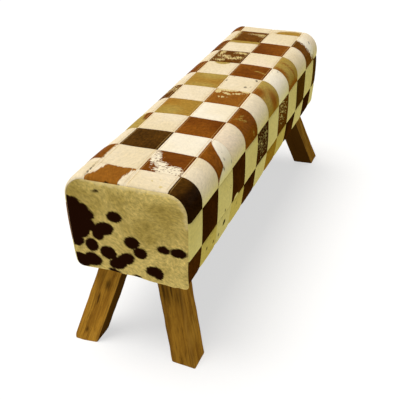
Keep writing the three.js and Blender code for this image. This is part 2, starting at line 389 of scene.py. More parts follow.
# Markings in another colour: coat, how ragged their edge is in millimetres, and blobs. A blob is
# its middle along the row's width and round the body, and its two radii, in patch widths from the
# patch's left front corner, and its turn in degrees, if it has one. Soft is how far, in
# millimetres, the two coats blend at the edge, and least keeps a marking down to flecks: inside its
# blobs the distance to its edge is never taken as less than that many millimetres.
Marking = namedtuple("Marking", "coat ragged blobs soft least", defaults=(1.3, -FAR / MM))
SEAT_FRONT, SEAT_BACK, SHOULDER_FRONT, SHOULDER_BACK, SIDE_FRONT, HEM_FRONT = 3, 4, 2, 5, 1, 0
MARKINGS = {
    (1, SEAT_BACK): Marking(
        "C", 6, ((0.0, 0.0, 0.75, 0.19), (0.80, 1.05, 0.66, 0.26), (1.08, 0.42, 0.38, 0.78))
    ),
    (1, SHOULDER_FRONT): Marking("K", 3, ((0.6, 1.05, 1.0, 0.36),), 11),
    (1, SEAT_FRONT): Marking(
        "T", 3, ((0.33, 0.49, 0.03, 0.03), (0.42, 0.33, 0.03, 0.04), (0.14, 0.21, 0.04, 0.05))
    ),
    (2, SEAT_FRONT): Marking(
        "B", 14, ((0.66, 0.90, 0.38, 0.12, 26), (0.12, 0.33, 0.19, 0.34), (0.33, 0.64, 0.11, 0.15)),
        1.3, -4.5
    ),
    (2, SHOULDER_BACK): Marking("C", 4, ((0.0, 0.10, 0.17, 0.34), (0.5, 0.0, 0.5, 0.035))),
    (4, SHOULDER_BACK): Marking("R", 6, ((0.84, 0.04, 0.34, 0.12),), 3),
    (3, SHOULDER_FRONT): Marking("B", 2, ((1.02, 0.34, 0.60, 0.66), (0.72, 0.02, 0.72, 0.36))),
    (4, SIDE_FRONT): Marking("C", 4, ((0.30, 0.05, 0.16, 0.10),)),
    (5, SEAT_BACK): Marking("G", 6, ((0.12, 0.80, 0.36, 0.42),), 22),
    (7, SEAT_BACK): Marking("G", 6, ((0.88, 0.30, 0.30, 0.50), (0.05, 0.30, 0.14, 0.50)), 20),
    (5, SHOULDER_FRONT): Marking(
        "G", 7, ((1.04, 0.30, 0.11, 0.34, -6), (0.30, 0.82, 0.025, 0.13, 34), (0.62, 0.20, 0.03, 0.14, 10),
                 (0.55, 0.80, 0.02, 0.10, 60), (0.42, 0.74, 0.02, 0.14, 40))
    ),
    (6, SEAT_FRONT): Marking(
        "T", 8, ((1.04, 0.66, 0.22, 0.34), (0.80, 0.88, 0.14, 0.10, 20), (1.0, 0.14, 0.12, 0.16),
                 (0.68, 0.60, 0.05, 0.18, -24), (0.74, 0.30, 0.05, 0.16, 20), (0.42, 0.66, 0.04, 0.12)),
        1.3, -3
    ),
    (6, SIDE_FRONT): Marking("C", 34, ((0.46, 0.60, 0.30, 0.36),), 1.3, 12),
    (6, SHOULDER_BACK): Marking("T", 24, ((0.60, 0.35, 0.20, 0.28),), 3, 1),
    (7, SHOULDER_FRONT): Marking("O", 5, ((0.16, 0.88, 0.26, 0.24), (0.56, 0.32, 0.20, 0.34)), 15),
    (8, SEAT_BACK): Marking("G", 3, ((1.0, 0.52, 0.23, 0.25),), 4),
    (8, SIDE_FRONT): Marking("C", 34, ((0.34, 0.72, 0.30, 0.26),), 1.3, 10),
    (8, SEAT_FRONT): Marking("G", 8, ((0.43, 0.08, 0.03, 0.09), (0.50, 0.32, 0.025, 0.06))),
    (9, SEAT_BACK): Marking(
        "T", 12, ((0.46, 0.62, 0.08, 0.13), (0.30, 0.38, 0.07, 0.16), (0.72, 0.82, 0.22, 0.06),
                  (0.80, 0.22, 0.07, 0.16), (0.42, 0.18, 0.07, 0.09), (0.15, 0.70, 0.06, 0.12)), 4
    ),
    (9, SHOULDER_FRONT): Marking(
        "O", 9, ((0.45, 0.0, 0.70, 0.24), (0.06, 0.70, 0.10, 0.34), (0.62, 0.46, 0.03, 0.30, 12)), 9
    ),
    (10, SEAT_BACK): Marking("G", 5, ((1.03, 0.50, 0.32, 0.80),), 6),
    (11, SEAT_BACK): Marking(
        "T", 12, ((0.62, 0.16, 0.12, 0.10, 20), (0.70, 0.34, 0.04, 0.12), (0.50, 1.04, 0.55, 0.14)),
        5, -2
    ),
    (11, SHOULDER_FRONT): Marking("B", 18, ((0.84, 0.64, 0.36, 0.48),)),
    (12, SEAT_FRONT): Marking("A", 6, ((0.02, 0.28, 0.30, 0.54),), 6),
}

# Near-black spots, in the same measure as the blobs.
SPOTS = {
    (1, SHOULDER_BACK): ((0.40, 0.03, 0.15, 0.008, 3),),
    (1, SEAT_BACK): ((-0.02, 0.46, 0.035, 0.07), (-0.02, 0.16, 0.03, 0.03)),
    (2, HEM_FRONT): ((0.30, 0.70, 0.05, 0.05), (0.75, 0.60, 0.04, 0.05)),
    (3, SHOULDER_FRONT): (
        (0.58, 0.46, 0.030, 0.040), (0.40, 0.30, 0.028, 0.050), (0.92, 0.22, 0.020, 0.040),
        (0.66, 0.62, 0.012, 0.015),
    ),
    (3, SIDE_FRONT): ((0.52, 0.10, 0.035, 0.050), (0.80, 0.62, 0.015, 0.030)),
    (3, HEM_FRONT): ((0.50, 0.70, 0.09, 0.07, 20), (0.15, 0.55, 0.05, 0.05)),
    (4, HEM_FRONT): ((0.40, 0.75, 0.035, 0.05),),
    (7, SEAT_FRONT): (
        (0.60, 0.93, 0.050, 0.030), (0.84, 0.12, 0.060, 0.030, 20), (0.28, 0.26, 0.060, 0.034),
        (0.34, 0.14, 0.025, 0.012), (0.92, 0.80, 0.030, 0.012),
    ),
    (8, SHOULDER_FRONT): ((0.70, 0.92, 0.02, 0.02), (0.85, 0.80, 0.03, 0.02)),
    (11, SHOULDER_FRONT): ((0.90, 0.62, 0.06, 0.03, 30), (0.70, 0.40, 0.03, 0.03)),
}

# The left end panel's spots: middle across, towards the front, and up from the body's foot, the two
# radii, in millimetres, and the turn in degrees, if any. The right one's go towards the front too.
LEFT_PANEL_SPOTS = (
    (-138, 173, 26, 19), (-112, 165, 18, 14, 10), (-130, 150, 33, 26), (-99, 150, 18, 15),
    (-128, 116, 33, 36), (-96, 124, 16, 16), (-138, 76, 24, 18), (-84, 116, 12, 12),
    (-72, 217, 9, 3.4, 8), (-31, 158, 20, 14.5), (-60, 121, 27, 18, 16), (-76, 103, 16, 16),
    (-95, 70, 18, 18, -8), (-54, 57, 22, 19), (9, 98, 20, 17, 6), (28, 74, 18, 16),
    (-131, 20, 30, 21), (-97, 29, 25, 19), (-30, 33, 26, 17, 26), (-8, 50, 22, 16, 26),
    (86, 95, 16, 11, -6), (121, 94, 21, 13, -3), (104, 93, 6, 3), (59, 30, 21, 15, 8),
    (70, 26, 14, 17), (-44, 7, 18, 7, -6), (16, 6, 12, 5),
)
RIGHT_PANEL_SPOTS = (
    (120, 190, 22, 18), (135, 150, 20, 30), (96, 168, 20, 13, 12), (60, 206, 9, 6),
    (20, 150, 18, 14), (-30, 178, 13, 10), (-74, 138, 21, 15, 10), (-112, 104, 16, 20),
    (48, 96, 24, 17, -10), (78, 78, 18, 13), (-16, 78, 15, 12), (-60, 52, 20, 15),
    (-100, 24, 22, 14), (18, 30, 26, 14, 8), (100, 34, 17, 14), (130, 62, 10, 14),
)


def blob_distance(a, b, blobs):
    """Distance to the nearest blob's edge, negative inside."""
    nearest = np.full(np.broadcast(a, b).shape, FAR / MM)
    for middle_a, middle_b, radius_a, radius_b, *turn in blobs:
        angle = math.radians(turn[0]) if turn else 0.0
        c, s = math.cos(angle), math.sin(angle)
        along = ((a - middle_a) * c + (b - middle_b) * s) / radius_a
        across = ((b - middle_b) * c - (a - middle_a) * s) / radius_b
        nearest = np.minimum(nearest, (np.hypot(along, across) - 1) * min(radius_a, radius_b))
    return nearest


# ---- Materials: node helpers ----


class Nodes:
    """Builds one material's node tree."""

    def __init__(self, name):
        self.material = bpy.data.materials.new(name)
        self.material.use_nodes = True
        self.tree = self.material.node_tree
        self.tree.nodes.clear()
        self.shader = self.tree.nodes.new("ShaderNodeBsdfPrincipled")
        output = self.tree.nodes.new("ShaderNodeOutputMaterial")
        self.tree.links.new(self.shader.outputs["BSDF"], output.inputs["Surface"])

    def node(self, kind, inputs=(), **settings):
        """A new node; inputs maps its sockets to the values or sockets that they take."""
        made = self.tree.nodes.new(kind)
        for key, value in settings.items():
            setattr(made, key, value)
        for key, value in dict(inputs).items():
            self.put(made.inputs[key], value)
        return made

    def put(self, socket, value):
        """Links a socket, or sets it."""
        if isinstance(value, bpy.types.NodeSocket):
            self.tree.links.new(value, socket)
        elif isinstance(value, tuple) and len(value) == 3 and socket.type == "RGBA":
            socket.default_value = (*value, 1)
        else:
            socket.default_value = value

    def math(self, operation, *values):
        return self.node("ShaderNodeMath", enumerate(values), operation=operation).outputs[0]

    def swing(self, noise, reach):
        """A noise moved to lie round 0, times that reach."""
        return self.math("MULTIPLY", self.math("SUBTRACT", noise, 0.5), reach)

    def blend(self, first, second, share):
        """The sum of two values, the first by its share and the second by what is left of 1."""
        first, second = self.math("MULTIPLY", first, share), self.math("MULTIPLY", second, 1 - share)
        return self.math("ADD", first, second)

    def attribute(self, name, output="Fac"):
        return self.node("ShaderNodeAttribute", attribute_name=name).outputs[output]

    def place(self):
        return self.node("ShaderNodeTexCoord").outputs["Object"]

    def scaled(self, vector, scale, shift=(0, 0, 0)):
        scale = scale if isinstance(scale, tuple) else (scale, scale, scale)
        inputs = {"Vector": vector, "Scale": scale, "Location": shift}
        return self.node("ShaderNodeMapping", inputs).outputs[0]

    def noise(self, vector, detail=2.0, rough=0.5, distortion=0.0, output="Fac"):
        inputs = {
            "Vector": vector, "Scale": 1, "Detail": detail, "Roughness": rough, "Distortion": distortion
        }
        return self.node("ShaderNodeTexNoise", inputs, noise_dimensions="3D").outputs[output]

    def swirled(self, vector, scale, reach):
        """The vector, led astray by a slow noise in its first two directions."""
        noise = self.noise(self.scaled(vector, scale), output="Color")
        inputs = {0: noise, 1: (reach, reach, 0), 2: vector}
        return self.node("ShaderNodeVectorMath", inputs, operation="MULTIPLY_ADD").outputs[0]

    def cells(self, vector):
        """Distance from the middle of each cell."""
        inputs = {"Vector": vector, "Scale": 1}
        return self.node("ShaderNodeTexVoronoi", inputs, feature="F1").outputs["Distance"]

    def bands(self, vector, direction):
        settings = {"wave_type": "BANDS", "bands_direction": direction}
        return self.node("ShaderNodeTexWave", {"Vector": vector}, **settings).outputs["Fac"]

    def ramp(self, value, low, high, to_low=0.0, to_high=1.0, smooth=True):
        kind = "SMOOTHSTEP" if smooth else "LINEAR"
        inputs = enumerate((value, low, high, to_low, to_high))
        return self.node("ShaderNodeMapRange", inputs, interpolation_type=kind).outputs[0]

    def mix(self, share, first, second, blend="MIX"):
        made = self.node("ShaderNodeMix", data_type="RGBA", blend_type=blend, clamp_factor=True)
        for socket, value in zip((0, 6, 7), (share, first, second)):
            self.put(made.inputs[socket], value)
        return made.outputs[2]

    def dimmed(self, colour, light):
        inputs = {0: colour, "Scale": light}
        return self.node("ShaderNodeVectorMath", inputs, operation="SCALE").outputs[0]

    def bump(self, height, strength, distance):
        inputs = {"Height": height, "Strength": strength, "Distance": distance}
        return self.node("ShaderNodeBump", inputs).outputs[0]

    def finish(self, **inputs):
        for key, value in inputs.items():
            self.put(self.shader.inputs[key.replace("_", " ")], value)
        return self.material


# ---- Materials: hide ----

MADE = {}
MOST_WITHOUT_FLECKS = 8  # a marking more ragged than this breaks up into flecks as well
SPOT_EDGE = (4.5, 2.4)  # how ragged the dark spots are, and how soft


def hide(coat, mark="C", ragged=3.0, soft=1.3, relief=0.4):
    """Hair-on hide of one coat, with markings of another where its mark attribute is negative."""
    key = (coat, mark, ragged, soft, relief)
    if key in MADE:
        return MADE[key]
    n = Nodes(f"hide_{coat}_{mark}_{ragged:g}_{soft:g}")
    hair = n.swirled(n.node("ShaderNodeUVMap", uv_map="hair").outputs["UV"], (26, 26, 1), 0.012)
    strand = n.noise(n.scaled(hair, (130, 1000, 1)), rough=0.6)
    lock = n.noise(n.scaled(hair, (34, 210, 1), (3, 1, 0)), detail=3, rough=0.6)
    cloud = n.noise(n.scaled(hair, (19, 24, 1), (7, 5, 0)), detail=3, rough=0.55)
    mottle = n.noise(n.scaled(hair, (95, 140, 1), (2, 6, 0)), rough=0.6)
    tufts = n.blend(strand, lock, 0.75)
    share = n.ramp(n.math("ADD", n.attribute("drift"), n.swing(cloud, 1.1)), 0.1, 0.9)

    def coloured(name):
        tone, other, streak = COATS[name]
        light = n.ramp(tufts, 0.34, 0.66, 1 - streak, 1 + streak, smooth=False)
        blotch = n.ramp(mottle, 0.32, 0.68, 1 - streak * 0.8, 1 + streak * 0.8, smooth=False)
        return n.dimmed(n.mix(share, tone, other), n.math("MULTIPLY", light, blotch))

    def edge(distance, torn, blend):
        """A share that goes from 0 to 1 at the edge of a marking, torn along the hair."""
        loose = n.math("ADD", n.swing(lock, torn * 2.2 * MM), n.swing(strand, 5.0 * MM))
        line = n.math("ADD", distance, loose)
        if torn > MOST_WITHOUT_FLECKS:
            fleck = n.noise(n.scaled(hair, (150, 330, 1), (4, 9, 0)), detail=1)
            line = n.math("ADD", line, n.swing(fleck, torn * 2.4 * MM))
        return n.ramp(line, blend * MM, -blend * MM)

    colour = n.mix(edge(n.attribute("mark"), ragged, soft), coloured(coat), coloured(mark))
    colour = n.mix(edge(n.attribute("spot"), *SPOT_EDGE), colour, SPOT_COAT)
    # Painted shade: the coat is tinted yellow-olive down the shoulders and sides, and a little on the end
    # panels, where they turn away from the light above.
    side_shade_colour = n.mix(n.attribute("age"), (1.0, 1.0, 1.0), SIDE_SHADE_TINT)
    colour = n.mix(1.0, colour, side_shade_colour, "MULTIPLY")
    parting = n.ramp(n.attribute("stitch"), 1.4 * MM, 0.5 * MM, 0.0, 0.35)
    colour = n.mix(parting, colour, THREAD_COLOUR)
    MADE[key] = n.finish(
        Base_Color=colour,
        Roughness=n.ramp(strand, 0.3, 0.7, 0.46, 0.62, smooth=False),
        Normal=n.bump(n.blend(strand, lock, 0.6), relief, 0.9 * MM),
        Specular_IOR_Level=n.ramp(n.attribute("age"), 0.0, 0.3, 0.015, 0.0),
        Specular_Tint=(1.0, 0.62, 0.30),
    )
    return MADE[key]


def flesh_side():
    n = Nodes("flesh_side")
    place = n.place()
    colour = n.mix(n.noise(n.scaled(place, 40)), (0.42, 0.28, 0.15), (0.30, 0.19, 0.09))
    grain = n.noise(n.scaled(place, 900), detail=3)
    return n.finish(Base_Color=colour, Roughness=0.9, Normal=n.bump(grain, 0.5, 0.4 * MM))


FLESH = flesh_side()


# ---- Cover ----


def patch_fields(row, column, t, x):
    """What the hide's shader reads at points of one patch: markings, drift and hair direction."""
    draw = np.random.default_rng(row * 16 + column)
    a = (x - ROW_EDGES[row - 1][0]) / PATCH
    b = (t - COLUMN_EDGES[column]) / PATCH
    marking = MARKINGS.get((row, column))
    mark = np.full(a.shape, FAR)
    if marking:
        mark = np.maximum(blob_distance(a, b, marking.blobs) * PATCH, marking.least * MM)
    turn = draw.uniform(0, math.tau)
    slope = draw.uniform(-0.45, 0.45)
    middle = draw.uniform(0.25, 0.75)
    along = (a - 0.5) * math.cos(turn) + (b - 0.5) * math.sin(turn)
    hair_turn = draw.normal(0.0, 0.5) + (math.pi / 2 if draw.random() < 0.35 else 0)
    c, s = math.cos(hair_turn), math.sin(hair_turn)
    shift = draw.uniform(0, 9, 2)
    return {
        "mark": mark,
        "spot": blob_distance(a, b, SPOTS.get((row, column), ())) * PATCH,
        "drift": middle + slope * along * 2,
        # painted shade: 0 on the seat, rising to 1 down the shoulders to the sides
        "age": smooth_step((np.abs(t) - 0.135) / 0.075),
        "stitch": np.abs(to_nearest(t, STITCH_SEAMS) - STITCH_OFFSET),
        "hair": np.stack([x * c + t * s + shift[0], t * c - x * s + shift[1]], -1),
    }


def write_fields(mesh, fields):
    """Stores values by face corner, the first corners first; no marking is near the rest."""
    corners = len(mesh.loops)
    for name, values in fields.items():
        if name == "hair":
            full = np.zeros((corners, 2), np.float32)
            full[: len(values)] = values
            mesh.uv_layers.new(name=name, do_init=False).uv.foreach_set("vector", full.ravel())
            continue
        full = np.full(corners, FAR if name in ("mark", "spot", "stitch") else 0.0)
        full[: len(values)] = values
        set_values(mesh, name, full, domain="CORNER")


def give_materials(mesh, materials, index):
    """Gives the first faces the materials that index names, and the rest the last material."""
    for material in materials:
        mesh.materials.append(material)
    full = np.full(len(mesh.polygons), len(materials) - 1)
    full[: len(index)] = index
    mesh.polygons.foreach_set("material_index", full)


def patch_material(row, column):
    marking = MARKINGS.get((row, column))
    coat = LAYOUT[row - 1][column]
    return hide(coat, marking.coat, marking.ragged, marking.soft) if marking else hide(coat)


def make_row(row):
    """One row of eight patches, a closed skin with a seam valley along each of its edges."""
    x = graded(*ROW_EDGES[row - 1], 26)
    per_column = [graded(*COLUMN_EDGES[c : c + 2], 26) for c in range(COLUMNS)]
    t = np.unique(np.concatenate(per_column).round(9))
    column_of = np.searchsorted(COLUMN_EDGES, (t[:-1] + t[1:]) / 2) - 1
    grid_t, grid_x = np.meshgrid(t, x, indexing="ij")
    if row in (1, 12):
        far = smooth_step((np.abs(grid_x) - END + END_STRETCH) / END_STRETCH)
        grid_x = grid_x + np.sign(grid_x) * far * (seam_at(grid_t) - END)
    outer = on_body(grid_t, grid_x, skin_lift(grid_t, grid_x))
    inner = [on_body(t, grid_x[:, edge], -HIDE - SEAM_DEPTH) for edge in (0, -1)]
    points = np.concatenate([outer.reshape(-1, 3), *inner])
    rows, across = grid_t.shape
    quads = grid_faces(rows, across)
    first = rows * across + np.arange(rows)
    second, left = first + rows, np.arange(rows) * across
    right = left + across - 1
    rims = [
        np.stack([first[:-1], first[1:], second[1:], second[:-1]], 1),
        np.stack([left[:-1], left[1:], first[1:], first[:-1]], 1),
        np.stack([right[1:], right[:-1], second[:-1], second[1:]], 1),
    ]
    faces = np.concatenate([quads, *rims]).tolist()
    faces.append([*range(across - 1, -1, -1), int(first[0]), int(second[0])])
    faces.append([*range(int(left[-1]), int(right[-1]) + 1), int(second[-1]), int(first[-1])])
    mesh = new_mesh(f"cover_row_{row:02d}", points, faces)
    mesh.polygons.foreach_set("use_smooth", np.arange(len(faces)) < len(quads))

    flat_t, flat_x = grid_t.ravel()[quads], grid_x.ravel()[quads]
    columns = np.repeat(column_of, across - 1)
    fields = {}
    for column in range(COLUMNS):
        chosen = columns == column
        for name, values in patch_fields(row, column, flat_t[chosen], flat_x[chosen]).items():
            whole = fields.setdefault(name, np.zeros((*flat_t.shape, *values.shape[2:])))
            whole[chosen] = values
    write_fields(mesh, {name: whole.reshape(-1, *whole.shape[2:]) for name, whole in fields.items()})
    hides = [patch_material(row, column) for column in range(COLUMNS)]
    give_materials(mesh, [*hides, FLESH], columns)
    piece = new_piece(f"cover_row_{row:02d}", mesh, [f"patch_row_{row:02d}"])


def make_cover():
    for row in range(1, 13):
        make_row(row)


# ---- End panels ----


def panel_outline(side, inset, per_side=250, under=56):
    """The closed outline of an end panel, that far in from its seam, as (y, z) points."""
    t = np.linspace(-HEM_T, HEM_T, per_side)
    drawn_in = end_round(t) * (1 - math.cos(END_TURN)) - overfill(t, side * END)
    y, z, _, _ = outline(t, drawn_in + inset)
    hem = np.linspace(y[-1], y[0], under)[1:-1]
    return np.column_stack([np.append(y, hem), np.append(z, np.full(len(hem), z[-1]))])


def triangulated(loops, inner):
    """The loops' points and then the inner ones, and the triangles between them all."""
    edges, start = [], 0
    for loop in loops:
        edges += [(start + i, start + (i + 1) % len(loop)) for i in range(len(loop))]
        start += len(loop)
    points = [Vector(point) for point in np.concatenate([*loops, inner]).tolist()]
    flat, _, triangles, _, _, _ = delaunay_2d_cdt(points, edges, [], 1, 1e-6)
    return np.array([list(point) for point in flat]), np.array([list(face) for face in triangles])


def gap_to(points, places):
    """How far each point is from the nearest of the places."""
    return np.linalg.norm(points[:, None] - places[None], axis=2).min(1)


def filled(loop, spacing):
    """The loop's points, then points that fill it, and the triangles between them all."""
    (left, low), (right, high) = loop.min(0), loop.max(0)
    grid = []
    for i, z in enumerate(np.arange(low, high, spacing * 0.87)):
        grid += [(y + (i % 2) * spacing / 2, z) for y in np.arange(left, right, spacing)]
    grid = np.array(grid)
    return triangulated([loop], grid[gap_to(grid, loop) > spacing * 0.6])


def swell_panel():
    """Where the padding lifts an end panel, and by how much."""
    loop = panel_outline(1, 0, 90, 26)
    flat, triangles = filled(loop, 9 * MM)
    sheet = np.column_stack([np.zeros(len(flat)), flat])
    held = np.arange(len(flat)) < len(loop)
    return flat, np.abs(inflate(sheet, triangles.tolist(), held, PANEL_CROWN)[:, 0])


PANEL_SWELL = swell_panel()


def panel_swell(flat):
    places, swell = PANEL_SWELL
    apart = ((flat[:, None] - places[None]) ** 2).sum(2)
    weight = np.exp(-apart / (2 * (6.5 * MM) ** 2))
    return (weight * swell).sum(1) / weight.sum(1)


def hang(y, z):
    """How far the hem of the left panel hangs: down, and out at its loose front corner."""
    low = np.exp(-(((z - BASE) / 0.028) ** 2))
    drop = eased(
        y, (-0.140, 9 * MM), (-0.118, 8 * MM), (-0.065, 4.5 * MM), (-0.010, 0), (0.032, -1 * MM),
        (0.074, -2.6 * MM), (0.117, 0.6 * MM), (0.140, 0),
    )
    corner = np.exp(-(((y + BASE_HALF_WIDTH) / 0.022) ** 2) - (((z - BASE) / 0.030) ** 2))
    return -drop * low, corner


def panel_fields(across, up, depth, spots, seed):
    """What the hide's shader reads on an end panel; all in millimetres, up from its foot."""
    whorl = np.exp(-((across - WHORL[0]) ** 2 + (up - WHORL[1]) ** 2) / WHORL_REACH**2)
    bend = 12 * waves(across, up, seed + 2, 190, 4)
    flow_a, flow_b = (across - WHORL[0]) * MM, (up - WHORL[1] + bend) * MM
    turn = -0.6 + 0.45 * whorl
    c, s = np.cos(turn), np.sin(turn)
    near_top = depth - 5.0 + 30 * smooth_step((170 - up) / 60)
    drift = 0.62 + 0.22 * waves(across, up, seed + 3, 150, 4)
    return {
        "mark": (near_top + 2 * waves(across, up, seed + 4, 24, 4)) * MM,
        "spot": blob_distance(across, up, spots) * MM,
        "drift": drift - 0.4 * smooth_step((up - 200) / 40) - 0.42 * smooth_step((145 - up) / 100),
        # painted shade, a little, on the end panels too
        "age": np.full(len(across), 0.22),
        "stitch": np.full(len(across), FAR),
        "hair": np.stack([flow_a * c + flow_b * s, flow_b * c - flow_a * s], -1),
    }


def build_panel(name, node, side, spots, seed):
    """An end panel: it rises out of its seam, rounds over, and swells a little in the middle."""
    rings = [panel_outline(side, inset) for inset in PANEL_RINGS]
    around = len(rings[0])
    inner, triangles = filled(rings[-1], 4.2 * MM)
    flat = np.concatenate([*rings[:-1], inner])
    inside = slice(around * len(rings), None)
    depth = np.concatenate([np.repeat(PANEL_RINGS, around), np.zeros(len(inner) - around)])
    depth[inside] = gap_to(flat[inside], panel_outline(side, 0, 500, 120))
    rise = PANEL_RISE * (1 - np.exp(-(depth + FRINGE) / PANEL_ROLL)) - SEAM_SET
    rise += panel_swell(flat) * smooth_step(depth / 0.02)
    rise += 0.6 * MM * waves(flat[:, 0], flat[:, 1], seed, 0.11) * smooth_step(depth / 0.03)
    faces = []
    for low in range(0, (len(rings) - 1) * around, around):
        for i in range(around):
            j = (i + 1) % around
            faces.append([low + i, low + around + i, low + around + j, low + j])
    faces += (triangles + (len(rings) - 1) * around).tolist()
    skin_faces = len(faces)
    back = len(flat)
    faces += [[i, (i + 1) % around, back + (i + 1) % around, back + i] for i in range(around)]
    faces.append(list(range(back, back + around)))
    flat = np.concatenate([flat, panel_outline(side, 0.5 * MM)])
    rise = np.append(rise, np.full(around, -PANEL_BACK))
    y, z = flat.T.copy()
    if side < 0:
        drop, corner = hang(y, z)
        flat[:, 0] -= 6 * MM * corner
        flat[:, 1] += drop
        rise += 1.5 * MM * corner
        faces = [face[::-1] for face in faces]
    flat[:, 1] += 0.8 * MM * waves(y, y * 0, seed + 1, 0.05) * np.exp(-(((z - BASE) / 0.018) ** 2))
    mesh = new_mesh(name, np.column_stack([side * (END + rise), flat]), faces)

    corners = np.array([corner for face in faces[:skin_faces] for corner in face])
    across, up = -flat[corners, 0] / MM, (flat[corners, 1] - BASE) / MM
    write_fields(mesh, panel_fields(across, up, depth[corners] / MM, spots, seed))
    give_materials(mesh, [hide("E", "T", 5.0, 3.5, relief=0.30), FLESH], np.zeros(skin_faces))
    piece = new_piece(name, mesh, [node])


def make_panels():
    build_panel("end_hide_left", "end_panel_left", -1, LEFT_PANEL_SPOTS, 21)
    build_panel("end_hide_right", "end_panel_right", 1, RIGHT_PANEL_SPOTS, 22)


# ---- Stitching ----


def waxed_thread():
    n = Nodes("waxed_thread")
    twist = n.bands(n.scaled(n.place(), 1500), "DIAGONAL")
    colour = n.mix(twist, THREAD_COLOUR, (0.80, 0.55, 0.20))
    return n.finish(Base_Color=colour, Roughness=0.55, Normal=n.bump(twist, 0.6, 0.15 * MM))


def make_stitching():
    """Two rows of stitches along each long seam of the seat, each stitch its own short thread."""
    half, radius, sides = 1.6 * MM, 0.42 * MM, 5
    rings = np.array([-1.0, -0.6, 0.0, 0.6, 1.0])
    dips = np.array([-0.75, 0.1, 0.3, 0.1, -0.75]) * MM
    thick = np.array([0.5, 0.95, 1.0, 0.95, 0.5]) * radius
    places = np.arange(CAGE_X[0] + 3 * MM, CAGE_X[-1] - 3 * MM, STITCH_PITCH)
    turn = np.arange(sides) / sides * math.tau
    out, aside = thick[:, None] * np.cos(turn), thick[:, None] * np.sin(turn)
    points = []
    for t in [seam + side * STITCH_OFFSET for seam in STITCH_SEAMS for side in (-1, 1)]:
        x = places[:, None] + rings * half
        high = (skin_lift(np.full(x.shape, t), x) + dips)[..., None] + out
        y, z, ny, nz = outline(t)
        x = np.broadcast_to(x[..., None], high.shape)
        points.append(np.stack([x, y + ny * high - nz * aside, z + nz * high + ny * aside], -1))
    points = np.concatenate(points).reshape(-1, 3)
    one = len(rings) * sides
    faces = [face for start in range(0, len(points), one) for face in tube_faces(start, len(rings), sides)]
    mesh = new_mesh("seat_stitching", points, faces)
    mesh.materials.append(waxed_thread())
    new_piece("seat_stitching", mesh)


# ---- Legs ----

LEG_SIDE = 60.6 * MM
LEG_EDGE = 3.2 * MM  # how far the long edges are worn round
FOOT_EASE = 2.2 * MM
FOOT_ROUNDING = ((0.0, 1.0), (0.0, 0.35), (0.45, 0.08), (1.2, 0.0))  # up and in, times the ease
LEFT_LEGS_SHIFT = Vector((-2 * MM, 1.5 * MM, 0))
WORN_CORNER = 4 * MM  # off the outer corner of the back left foot
SPLAY = (0.306, 0.297)
LEG_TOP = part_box("leg_front_left")[1].z
FOOT = {
    (-1, -1): "front_left",
    (-1, 1): "back_left",
    (1, -1): "front_right",
    (1, 1): "back_right",
}


def leg_axes(end, side):
    """The leg's middle at the floor, and its directions across, through and up."""
    low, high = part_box(f"leg_{FOOT[end, side]}")
    up = Vector((-end * SPLAY[0], -side * SPLAY[1], 1)).normalized()
    across = (Vector((1, 0, 0)) - up * up.x).normalized()
    through = up.cross(across)
    corners = [(across * a + through * b) * (LEG_SIDE / 2) for a in (-1, 1) for b in (-1, 1)]
    at_floor = [corner - up * (corner.z / up.z) for corner in corners]
    reach_x, reach_y = (max(abs(corner[axis]) for corner in at_floor) for axis in (0, 1))
    outer_x = high.x if end > 0 else -low.x
    outer_y = high.y if side > 0 else -low.y
    middle = Vector((end * (outer_x - reach_x), side * (outer_y - reach_y), 0))
    return middle + (LEFT_LEGS_SHIFT if end < 0 else Vector()), across, through, up


def rounded_square(half, radius, per_corner=5, per_side=8):
    """A square's outline with round corners, anticlockwise."""
    turn = np.linspace(0, math.pi / 2, per_corner)
    corner = half - radius + radius * np.stack([np.cos(turn), np.sin(turn)], 1)
    share = np.linspace(0, 1, per_side)[1:-1, None]
    straight = corner[-1] + (np.array([radius - half, half]) - corner[-1]) * share
    quarter = np.concatenate([corner, straight])
    loop = []
    for _ in range(4):
        loop.append(quarter)
        quarter = np.stack([-quarter[:, 1], quarter[:, 0]], 1)
    return np.concatenate(loop)


# Dark streaks in the faces of the left legs that look along the bench: which leg, how far across
# the face and up the timber, and half the width and length.
DARK_STREAKS = (
    ("back_left", 13, 115, 4.0, 16), ("back_left", 1, 157, 6.0, 18), ("back_left", 17, 22, 5.0, 12),
    ("back_left", 16, 104, 1.6, 24), ("back_left", -13, 24, 2.0, 10), ("back_left", 20, 168, 2.0, 22),
    ("front_left", 24, 176, 3.4, 34), ("front_left", 15, 172, 4.2, 40), ("front_left", 5, 180, 3.6, 30),
    ("front_left", -10, 160, 3.0, 40), ("front_left", -7, 66, 1.8, 44), ("front_left", 12, 108, 1.6, 36),
    ("front_left", -16, 100, 1.4, 40),
)
LEG_SEEDS = {"front_left": 1, "back_left": 2, "front_right": 3, "back_right": 4}
# Painted light: how bright each leg is made, standing in for how each one is lit.
LEG_PAINTED_LIGHT = {"front_left": 0.90, "back_left": 1.28, "front_right": 0.68, "back_right": 1.0}


